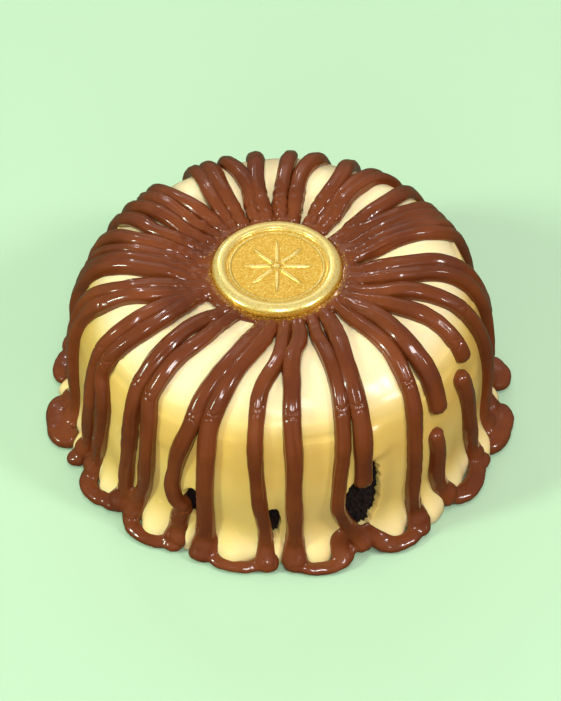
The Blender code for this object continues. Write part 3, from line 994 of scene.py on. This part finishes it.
def make_rope(name, route, width, seed, knuckles=(), spacing=RING_SPACING, sides=ROPE_SIDES,
              height=1.0, taper=(1.0, 1.0), stretch=None, growth=(1.0, 1.0, 1.0)):
    """A rope of chocolate laid along a route, as a closed tube with round tips.

    Stretch keeps only what lies between two runs. Growth is the part of the
    full size at the start, a third of the way on and at the end.
    """
    draw = np.random.default_rng(seed)
    first_bearing, at, path_run, *path = rope_path(route, stretch, seed)
    rows = rows_along(at, path_run, knuckles, spacing)
    rope, turn, along = flat_grid(name, sides, rows, at)
    half = width / 2
    run = np.interp(along, at, path_run)
    closing = (rounded_tip(along - at[0], half * taper[0])
               * rounded_tip(at[-1] - along, half * taper[1]))
    part = (along - at[0]) / (at[-1] - at[0])
    size = half * fullness(run) * closing * np.interp(part, (0, 0.35, 1), growth)
    size *= (1 + 0.035 * swell(along[:, None], 30, seed + 100)
             + 0.012 * swell(along[:, None], 9, seed + 200))
    for knuckle in knuckles:
        size += knuckle_relief(run, turn, half, knuckle, draw)
    skin = (streak_relief(along, turn, seed, draw)
            + wrinkle_relief(along, turn, half, run, first_bearing, seed))
    reach = size + skin * closing
    cosine, sine = np.cos(turn), np.sin(turn)
    round_off = (np.abs(cosine) ** SQUARENESS + np.abs(sine) ** SQUARENESS) ** (-1 / SQUARENESS)
    middle, side, up = (np.stack([np.interp(along, at, values[:, axis]) for axis in range(3)], 1)
                        for values in path)
    points = (middle + side * (cosine * reach * round_off)[:, None]
              + up * (sine * reach * round_off * flatness(run) * height)[:, None])
    points[:, 2] = np.maximum(points[:, 2], FLOOR_CLEARANCE)
    move_points(rope, points)
    close_tube(rope, width, rows, at)
    return rope


print(f"a rope has {ROPE_SIDES} faces round it and a row every {RING_SPACING} mm")

# %% [markdown]
# The ropes of one side of the cake are joined into one piece, because a cook would speak of
# them together and one material covers them. The knuckles lie high on the shoulder of the front
# ropes, where the nozzle turned downwards, and some ropes have one more near the foot.

# %% Lay the ropes

# Run and strength of each knuckle, by the number of its rope
KNUCKLES = {
    "front": {0: ((60, 1),), 1: ((61, 1.2), (139, 0.8)), 2: ((62, 1),), 3: ((63, 1),),
              4: ((63, 0.9),), 7: ((66, 0.8),), 9: ((66, 0.9),), 10: ((68, 1),),
              11: ((68, 1.1),), 12: ((132, 1),), 13: ((65, 1),)},
    "right": {0: ((62, 0.8),), 2: ((60, 0.6),), 9: ((52, 0.6),)},
    "back": {6: ((50, 0.7),), 14: ((58, 0.8),), 15: ((70, 1),), 16: ((71, 1), (139, 1))},
}

# Side of the cake, its ropes and the seed of the first one
ROPE_GROUPS = (("front", FRONT_ROPES, 1000), ("right", RIGHT_ROPES, 2000),
               ("back", BACK_ROPES, 3000))


def join(name, pieces):
    """Joins pieces into one object."""
    bpy.ops.object.select_all(action="DESELECT")
    for piece in pieces:
        piece.select_set(True)
    bpy.context.view_layer.objects.active = pieces[0]
    bpy.ops.object.join()
    joined = bpy.context.object
    joined.name = joined.data.name = name
    return joined


def lay_ropes(side, routes, seed):
    """Every rope of one side of the cake, as one piece."""
    ropes = [make_rope(f"{side}_{number}", route, width, seed + number,
                       KNUCKLES[side].get(number, ()))
             for number, (route, width) in enumerate(routes)]
    return join(f"chocolate_ropes_{side}", ropes)


def every_rope():
    """Route, width and seed of every rope on the cake."""
    return [(route, width, seed + number) for _, routes, seed in ROPE_GROUPS
            for number, (route, width) in enumerate(routes)]


chocolate_pieces = [lay_ropes(*group) for group in ROPE_GROUPS]
for piece in chocolate_pieces:
    print(piece.name, len(piece.data.polygons), "faces")

# %% [markdown]
# ## Chocolate at the foot
#
# At the foot the ropes ran on while still soft. They swell, turn sideways and flow together
# into low pools round the tongues of cream. Each pool starts as a short fat rope, laid along a
# route of its own.

# %% Pools round the foot

# Route, width in mm and part of a rope's height of each pool
POOLS = (
    ("3.6@150 6@154 9.6@155.2 13.6@155 17@152 18.4@147", 5.4, 0.85),
    ("19@135 16.8@136.4 15.4@141 15.2@147 16@152 18@155", 7.2, 1.0),
    ("22.8@136 24.6@143 26.6@150 30.4@154.4 34.6@154.2 38@149", 6.8, 0.85),
    ("38.4@149 38.4@153 39.4@157", 7.6, 0.8),
    ("49@147 51.4@151.6 55.6@154.6 60@154.2 64.6@150", 7.4, 0.85),
    ("64.8@146 65.4@152 64.6@157", 8.4, 0.85),
    ("76.6@143 75.6@151 74.8@158", 9.4, 0.85),
    ("79.6@148 80@155 80.8@160", 10.0, 0.85),
    ("68@149 72@154.6 77@156.4 83@155.4 84@151", 8.6, 0.95),
    ("93.6@148 92.8@153 93@158", 9.4, 0.85),
    ("90.4@151 93.6@155.8 98@156.4 102@153", 8.2, 0.85),
    ("110.4@148 109@154 106.4@158", 8.6, 0.85),
    ("118.6@148 119.4@154 122.4@158", 9.4, 0.85),
    ("130.6@148 131@154 133@157", 8.6, 0.85),
    ("143.6@148 144.6@154 150@155 156@151", 8.2, 0.85),
    ("168@148 169.6@154.6 175.6@155 179@150", 8.2, 0.85),
    ("187.6@148 188.6@154.6 193.6@155 196@150", 8.2, 0.85),
    ("203.6@148 205@154.6 209.6@153", 8.6, 0.85),
    ("220.6@148 221.6@154.6 224@156", 8.6, 0.85),
    ("230.6@148 232.4@155 237.4@156 240@150", 9.0, 0.85),
    ("247@148 249@155 253.6@156 256@150", 9.0, 0.85),
    ("265@148 264.6@154 262.4@158", 9.0, 0.85),
    ("274@147 275@153 277@158", 9.2, 0.85),
    ("281@146 282@153 281.6@159", 10.2, 0.9),
    ("272@150 274.6@155.6 279@157.4 284.6@157 288@152.6", 8.6, 0.95),
    ("254@150 257@155 261.6@156.4 266@154.4", 8.4, 0.9),
    ("283.6@153.6 285.8@150.6 287.6@153 286.6@156 284.8@156.6", 5.0, 1.2),
    ("293@147 293.4@153 295@157", 8.6, 0.85),
    ("299.4@147 299.6@151 302.8@154.8 307@155.2 310.8@151", 6.6, 0.85),
    ("311.8@148 311.6@154 312@157", 8.2, 0.85),
    ("317.6@145 317.4@150 319.8@154 324@155.4 328.4@154 331.6@149", 6, 0.85),
    ("331.9@148 332@153 332.4@157", 8.2, 0.85),
    ("339.8@144 339.4@150 339.4@157", 9.6, 0.85),
    ("341.4@140.5 343.2@142.6 343@147 341.4@150.6", 4.6, 1.0),
    ("341@150 344.4@153.8 348.8@154.8 353@153.8 356.4@149", 4.8, 0.85),
    ("-3.6@145 -3.2@150 -2.8@157", 8.6, 0.85),
    ("3.6@143 3.8@150 3.9@157", 9.2, 0.85),
)
print("pools:", len(POOLS))

# %% [markdown]
# The last stretch of every long rope is laid again a little fatter, among the pools. A voxel
# remesh then melts them all into one skin, and a smooth modifier lets that skin settle, which
# gives the soft joins that poured chocolate has. A union of the tubes would leave a sharp
# valley wherever two of them meet.

# %% Melt the foot into one skin
MELT_VOXEL = 0.8
MELT_SPACING = 1.6
FOOT_TURN = 128


def melted(name, pieces, settling, seed):
    """Pieces melted into one skin, settled and made a little uneven."""
    piece = join(name, pieces)
    melt = piece.modifiers.new("Melt", "REMESH")
    melt.mode = "VOXEL"
    melt.voxel_size = MELT_VOXEL * MM
    settle = piece.modifiers.new("Settle", "SMOOTH")
    settle.factor = 0.5
    settle.iterations = settling
    for modifier in ("Melt", "Settle"):
        bpy.ops.object.modifier_apply(modifier=modifier)
    points = points_of(piece)
    uneven = 0.22 * swell(points, 13, seed) + 0.08 * swell(points, 5, seed + 1)
    points += normals_of(piece) * uneven[:, None]
    points[:, 2] = np.maximum(points[:, 2], FLOOR_CLEARANCE)
    move_points(piece, points)
    bpy.ops.object.shade_smooth()
    return piece


def make_pools():
    """All that has run together at the foot, as one melted skin."""
    parts = [make_rope(f"pool_{number}", route, width, 4000 + number, height=height,
                       spacing=MELT_SPACING, sides=20, taper=(2.4, 1.2), growth=(0.8, 1, 0.92))
             for number, (route, width, height) in enumerate(POOLS)]
    for route, width, seed in every_rope():
        if read_route(route)[1][-1] > FOOT_TURN + 12:
            parts.append(make_rope(f"end_{seed}", route, width, seed, spacing=MELT_SPACING,
                                   sides=24, stretch=(FOOT_TURN, 170), taper=(1.5, 1.2),
                                   growth=(0.95, 1.02, 1.08)))
    return melted("chocolate_foot", parts, 14, 4100)


chocolate_pieces.append(make_pools())
print("foot:", len(chocolate_pieces[-1].data.polygons), "faces")

# %% [markdown]
# Round the seal the ropes began so close together that they ran into a collar. It is a torus,
# drawn out wide where the ropes crowd and sunk away at the four places where the cream comes up
# to the seal, melted together with the first stretch of every rope.

# %% Collar round the seal
COLLAR_RADIUS = SEAL_RADIUS + 1.8
COLLAR_HALF = 3.2

# Bearing and half width in degrees
CREAM_AT_SEAL = ((136, 4), (163, 4), (185, 3), (205, 2.4))
CROWDED_SIDES = ((90, 42), (272, 46))
FRONT_SIDE = (0, 34)


def nearness(bearing, side):
    """1 at the middle of a side and 0 outside it, with a steep but smooth edge."""
    middle, half_width = side
    return np.exp(-(away_from(bearing, middle) / half_width) ** 4)


def make_collar():
    """The chocolate that has run together round the seal."""
    bpy.ops.mesh.primitive_torus_add(major_radius=COLLAR_RADIUS * MM, minor_radius=COLLAR_HALF * MM,
                                     major_segments=200, minor_segments=20)
    ring = bpy.context.object
    points = points_of(ring)
    bearing, radius, height = map_of(points)
    full = 1 + 0 * bearing
    for side in CREAM_AT_SEAL:
        full -= 0.9 * nearness(bearing, side)
    full -= 0.25 * nearness(bearing, FRONT_SIDE)
    wide = sum(nearness(bearing, side) for side in CROWDED_SIDES)
    out = (radius - COLLAR_RADIUS) * full
    out = np.where(out > 0, out * (1 + 0.7 * wide), out)
    crown = np.interp(COLLAR_RADIUS + out, GUIDE[:60, 0], GUIDE[:60, 1])
    points = around(bearing, COLLAR_RADIUS + out, crown + height * full - 3.4 * (1 - full))
    points[:, 0] += SEAL_MIDDLE
    move_points(ring, points)
    parts = [ring]
    for route, width, seed in every_rope():
        bearing, run = read_route(route)
        if run[0] < 20:
            crowding = max(nearness(bearing[0], side) for side in CROWDED_SIDES)
            parts.append(make_rope(f"start_{seed}", route, width, seed, spacing=MELT_SPACING,
                                   sides=24, stretch=(0, 12 + 5 * crowding), taper=(1, 2),
                                   growth=(1.05, 1.02 + 0.08 * crowding, 0.9)))
    return melted("chocolate_collar", parts, 5, 4200)


chocolate_pieces.append(make_collar())
print("collar:", len(chocolate_pieces[-1].data.polygons), "faces")

# %% [markdown]
# The ropes are milk chocolate ganache: brown with a red cast, opaque, and glossy because the
# fat sets on its surface. A thin coat over a softer base gives the two kinds of highlight seen
# on it, a sharp thread of light inside a broad pale one. Fine streaks about a millimetre apart
# follow the UV map along each rope. Next to the seal the chocolate is dusted with gold, which
# the shader fades in by the distance from the seal's middle.

# %% Material: milk chocolate ganache


def make_ganache_material():
    """Milk chocolate and cream, set to a gloss, with gold dust beside the seal."""
    ganache = new_material("milk chocolate ganache")
    coordinates = add(ganache, "ShaderNodeTexCoord")
    place = coordinates.outputs["Object"]
    slow = add(ganache, "ShaderNodeTexNoise", Vector=place, Scale=grains(22.22), Detail=3.0)
    brown = ramp(ganache, slow.outputs["Fac"],
                 ((0.3, "#602c12"), (0.55, "#6f3617"), (0.8, "#7d3f1d")))
    stretch = add(ganache, "ShaderNodeMapping", Vector=coordinates.outputs["UV"],
                  Scale=(grains(1.111), grains(16.67), 1))
    streak = add(ganache, "ShaderNodeTexNoise", Vector=stretch.outputs["Vector"], Scale=1.0,
                 Detail=3.0)
    bump = add(ganache, "ShaderNodeBump", Height=streak.outputs["Fac"], Strength=0.07,
               Distance=0.0005)
    gloss = add(ganache, "ShaderNodeMapRange", Value=slow.outputs["Fac"], To_Min=0.17, To_Max=0.27)

    middle = add(ganache, "ShaderNodeMapping", {"vector_type": "POINT"}, Vector=place,
                 Location=(-SEAL_MIDDLE * MM, 0, -(SEAL_BOTTOM + 2) * MM))
    distance = add(ganache, "ShaderNodeVectorMath", {"operation": "LENGTH"},
                   Vector=middle.outputs["Vector"])
    near = add(ganache, "ShaderNodeMapRange", Value=distance.outputs["Value"],
               From_Min=(SEAL_RADIUS + 0.3) * MM, From_Max=(SEAL_RADIUS + 5) * MM, To_Min=0.6,
               To_Max=0.0)
    forward = add(ganache, "ShaderNodeSeparateXYZ", Vector=place).outputs["Y"]
    fallen = add(ganache, "ShaderNodeMapRange", Value=forward, From_Min=-25 * MM, From_Max=20 * MM,
                 To_Min=1.0, To_Max=0.35)
    lying = add(ganache, "ShaderNodeMath", {"operation": "MULTIPLY"}, i0=near.outputs["Result"],
                i1=fallen.outputs["Result"])
    specks = add(ganache, "ShaderNodeTexNoise", Vector=place, Scale=grains(1.111), Detail=3.0)
    dust = add(ganache, "ShaderNodeMath", {"operation": "ADD"}, i0=lying.outputs["Value"],
               i1=specks.outputs["Fac"])
    dusted = add(ganache, "ShaderNodeMapRange", Value=dust.outputs["Value"], From_Min=0.72,
                 From_Max=1.1, To_Min=0.0, To_Max=0.9)
    colour = add(ganache, "ShaderNodeMix", {"data_type": "RGBA"}, Factor=dusted.outputs["Result"],
                 i6=brown, i7=linear("#b07a26"))
    metal = add(ganache, "ShaderNodeMath", {"operation": "MULTIPLY"}, i0=dusted.outputs["Result"],
                i1=0.7)
    shader = add(ganache, "ShaderNodeBsdfPrincipled", Base_Color=colour.outputs[2],
                 Metallic=metal.outputs["Value"], Roughness=gloss.outputs["Result"],
                 Normal=bump.outputs["Normal"])
    shader.inputs["Specular IOR Level"].default_value = 0.2
    shader.inputs["Coat Weight"].default_value = 0.5
    shader.inputs["Coat Roughness"].default_value = 0.05
    shader.inputs["Subsurface Weight"].default_value = 0.06
    shader.inputs["Subsurface Radius"].default_value = (1.0, 0.4, 0.2)
    shader.inputs["Subsurface Scale"].default_value = 1.5 * MM
    return finish_surface(ganache, shader)


ganache = make_ganache_material()
for piece in chocolate_pieces:
    piece.data.materials.clear()
    piece.data.materials.append(ganache)
print("ganache on", len(chocolate_pieces), "pieces")

# %% [markdown]
# ## Gold seal
#
# The seal is a disc of sugar paste pressed with a stamp and brushed with gold. Its rim is a
# thick rounded roll, pressed outwards by the stamp, and the field inside lies lower. The
# profile is a row of arcs and flats, spun once round. A star of eight thin rays is raised on
# the field by moving the points inside its outline, which keeps the seal in one skin.

# %% Shape the seal
SEAL_STEPS = 288
RIM_WIDTH = 7.4
FIELD_DEPTH = 1.9
FIELD_RADIUS = SEAL_RADIUS - RIM_WIDTH
FINE_RING_RADIUS = FIELD_RADIUS - 1.5
FINE_RING_HALF = 0.5
FINE_RING_HEIGHT = 0.6
STEP_WIDTH = 1.1
ROLL_DEPTH = 3.6
RAYS = 8
RAY_HALF_WIDTH = 0.7
RAY_HEIGHT = 0.6
SHORT_RAY = 10.5
LONG_RAY = 17.5


def seal_section():
    """Loop of (radius, height) from the middle of the top, over the rim, to the underside."""
    field = SEAL_TOP - FIELD_DEPTH
    flat = [(radius, field) for radius in np.linspace(0, FIELD_RADIUS - 0.5, 56)]
    turn = np.linspace(0, math.pi / 2, 9)
    step = [(FIELD_RADIUS + STEP_WIDTH * math.sin(angle),
             SEAL_TOP - 0.5 - (FIELD_DEPTH - 0.6) * math.cos(angle)) for angle in turn]
    top = [(FIELD_RADIUS + STEP_WIDTH + part * 2, SEAL_TOP - 0.5 * (1 - part) ** 2)
           for part in (0.25, 0.5, 0.75, 1)]
    roll_width = SEAL_RADIUS - FIELD_RADIUS - STEP_WIDTH - 2
    roll = [(SEAL_RADIUS - roll_width * (1 - math.sin(angle)),
             SEAL_TOP - ROLL_DEPTH * (1 - math.cos(angle))) for angle in np.linspace(0.1, 1.5, 14)]
    side = [(SEAL_RADIUS, SEAL_TOP - ROLL_DEPTH - 0.6), (SEAL_RADIUS - 0.3, SEAL_BOTTOM + 1.2),
            (SEAL_RADIUS - 1, SEAL_BOTTOM + 0.3)]
    under = [(radius, SEAL_BOTTOM) for radius in np.linspace(SEAL_RADIUS - 2, 0, 8)]
    return np.array(flat + step + top + roll + side + under)


def make_seal():
    """The stamped seal, with its ring and star."""
    seal = turned("gold_seal", seal_section(), SEAL_STEPS)
    points = points_of(seal)
    bearing, radius, height = map_of(points)
    top = (height > SEAL_TOP - FIELD_DEPTH - 0.3) & (radius < FIELD_RADIUS)
    ring = FINE_RING_HEIGHT * np.exp(-((radius - FINE_RING_RADIUS) / FINE_RING_HALF) ** 4)
    sweep = math.tau / RAYS
    angle = (np.radians(bearing) + sweep / 2) % sweep - sweep / 2
    across = np.abs(radius * np.sin(angle))
    long_ray = np.cos(np.radians(bearing) * RAYS / 2) ** 2
    tip = SHORT_RAY + (LONG_RAY - SHORT_RAY) * long_ray
    width = RAY_HALF_WIDTH * np.clip((tip - radius) / 5, 0.2, 1) + 0.2
    star = eased(width - across, -0.3, 0.3) * eased(tip - radius, 0, 1.5) * eased(radius, 2.6, 3.6)
    boss = eased(1.6 - radius, -0.4, 0.4)
    points[:, 2] += top * (ring + RAY_HEIGHT * np.maximum(star, boss))
    grain = 0.02 * swell(points, 1.3, 21) + 0.03 * swell(points, 14, 22)
    edge = eased(radius, SEAL_RADIUS - 6, SEAL_RADIUS)
    uneven = 0.14 * edge * swell(points[:, :2], 30, 23)
    points += normals_of(seal) * (grain * (radius > 0.5))[:, None]
    points[:, :2] *= (1 + uneven / np.maximum(radius, 1))[:, None]
    points[:, 2] = np.clip(points[:, 2], SEAL_BOTTOM, SEAL_TOP + 0.3)
    points[:, 0] += SEAL_MIDDLE
    move_points(seal, points)
    return seal


seal = make_seal()
print("seal:", len(seal.data.polygons), "faces")

# %% [markdown]
# Gold lustre dust is brushed on dry, so the surface is metallic but not a mirror: each grain
# faces its own way, and some paste shows between them. A grain bump under half a millimetre
# across, coarser than the real dust so that it shows, makes it sparkle. The raised parts are
# painted paler than the field, partly where the brush rubs them bright and partly as a painted
# highlight along the rim, so the tone follows the height as well as a fine noise.

# %% Material: gold lustre dust


def make_gold_material():
    """Edible gold dust brushed on sugar paste."""
    gold = new_material("gold lustre dust")
    place = add(gold, "ShaderNodeTexCoord").outputs["Object"]
    worn = add(gold, "ShaderNodeTexNoise", Vector=place, Scale=grains(0.8333), Detail=2.0)
    height = add(gold, "ShaderNodeSeparateXYZ", Vector=place).outputs["Z"]
    # Raised parts painted paler: wear from the brush, plus a painted highlight on the rim
    rubs_and_painted_highlight = add(gold, "ShaderNodeMapRange", Value=height, From_Min=(SEAL_TOP - FIELD_DEPTH) * MM,
                 From_Max=(SEAL_TOP - FIELD_DEPTH + 0.7) * MM, To_Min=0.0, To_Max=0.3)
    tone = add(gold, "ShaderNodeMath", {"operation": "ADD"}, i0=worn.outputs["Fac"],
               i1=rubs_and_painted_highlight.outputs["Result"])
    colour = ramp(gold, tone.outputs["Value"],
                  ((0.3, "#cf982c"), (0.48, "#e4b442"), (0.62, "#efc65a"), (0.8, "#ffe692")))
    grain = add(gold, "ShaderNodeTexVoronoi", Vector=place, Scale=grains(0.4545))
    bump = add(gold, "ShaderNodeBump", Height=grain.outputs["Distance"], Strength=0.05,
               Distance=0.0003)
    gloss = add(gold, "ShaderNodeMapRange", Value=worn.outputs["Fac"], To_Min=0.2, To_Max=0.3)
    shader = add(gold, "ShaderNodeBsdfPrincipled", Base_Color=colour,
                 Roughness=gloss.outputs["Result"], Normal=bump.outputs["Normal"], Metallic=0.6)
    return finish_surface(gold, shader)


seal.data.materials.append(make_gold_material())
print("gold on", seal.name)

# %% [markdown]
# Some of the dust fell beside the seal. Each flake is a tiny ball, pressed flat and dropped
# straight down on whatever lies under it: a ray cast from above finds the height. Most of them
# lie close to the seal and towards the front.

# %% Scatter the dust
FLAKES = 170
FLAKE_HALF = 0.34


def make_dust(ground):
    """Loose flakes of gold on the chocolate round the seal."""
    draw = np.random.default_rng(61)
    flakes = []
    while len(flakes) < FLAKES:
        bearing = draw.normal(10, 75)
        radius = SEAL_RADIUS + 0.4 + draw.exponential(1.7)
        above = around(bearing, radius, SEAL_TOP + 20) * MM
        above[0] += SEAL_MIDDLE * MM
        landings = [piece.ray_cast(tuple(above), (0, 0, -1)) for piece in ground]
        landed = max((spot for hit, spot, _, _ in landings if hit), key=lambda spot: spot.z)
        size = FLAKE_HALF * draw.uniform(0.5, 1.3)
        bpy.ops.mesh.primitive_ico_sphere_add(subdivisions=1, radius=size * MM)
        flake = bpy.context.object
        points = points_of(flake) * (1, draw.uniform(0.6, 1), 0.4)
        move_points(flake, points + np.array(landed) / MM + (0, 0, 0.1))
        flakes.append(flake)
    return join("gold_dust", flakes)


dust = make_dust([chocolate_pieces[-1], cream])
dust.data.materials.append(seal.data.materials[0])
print("dust:", FLAKES, "flakes")

# %% [markdown]
# ## The last step
#
# Each piece is tied to the frame: it rides on the cake's one body, and stands for the plain
# solid that it covers, which is hidden.

# %% Tie the pieces to the frame
TIES = [(sponge, "sponge", "sponge"), (cream, "icing", "icing"), (seal, "seal", "gold"),
        (dust, "seal", "gold")]
TIES += [(piece, "icing", "chocolate") for piece in chocolate_pieces]
for piece, node, slot in TIES:
    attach(piece, "root")
    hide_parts(node)
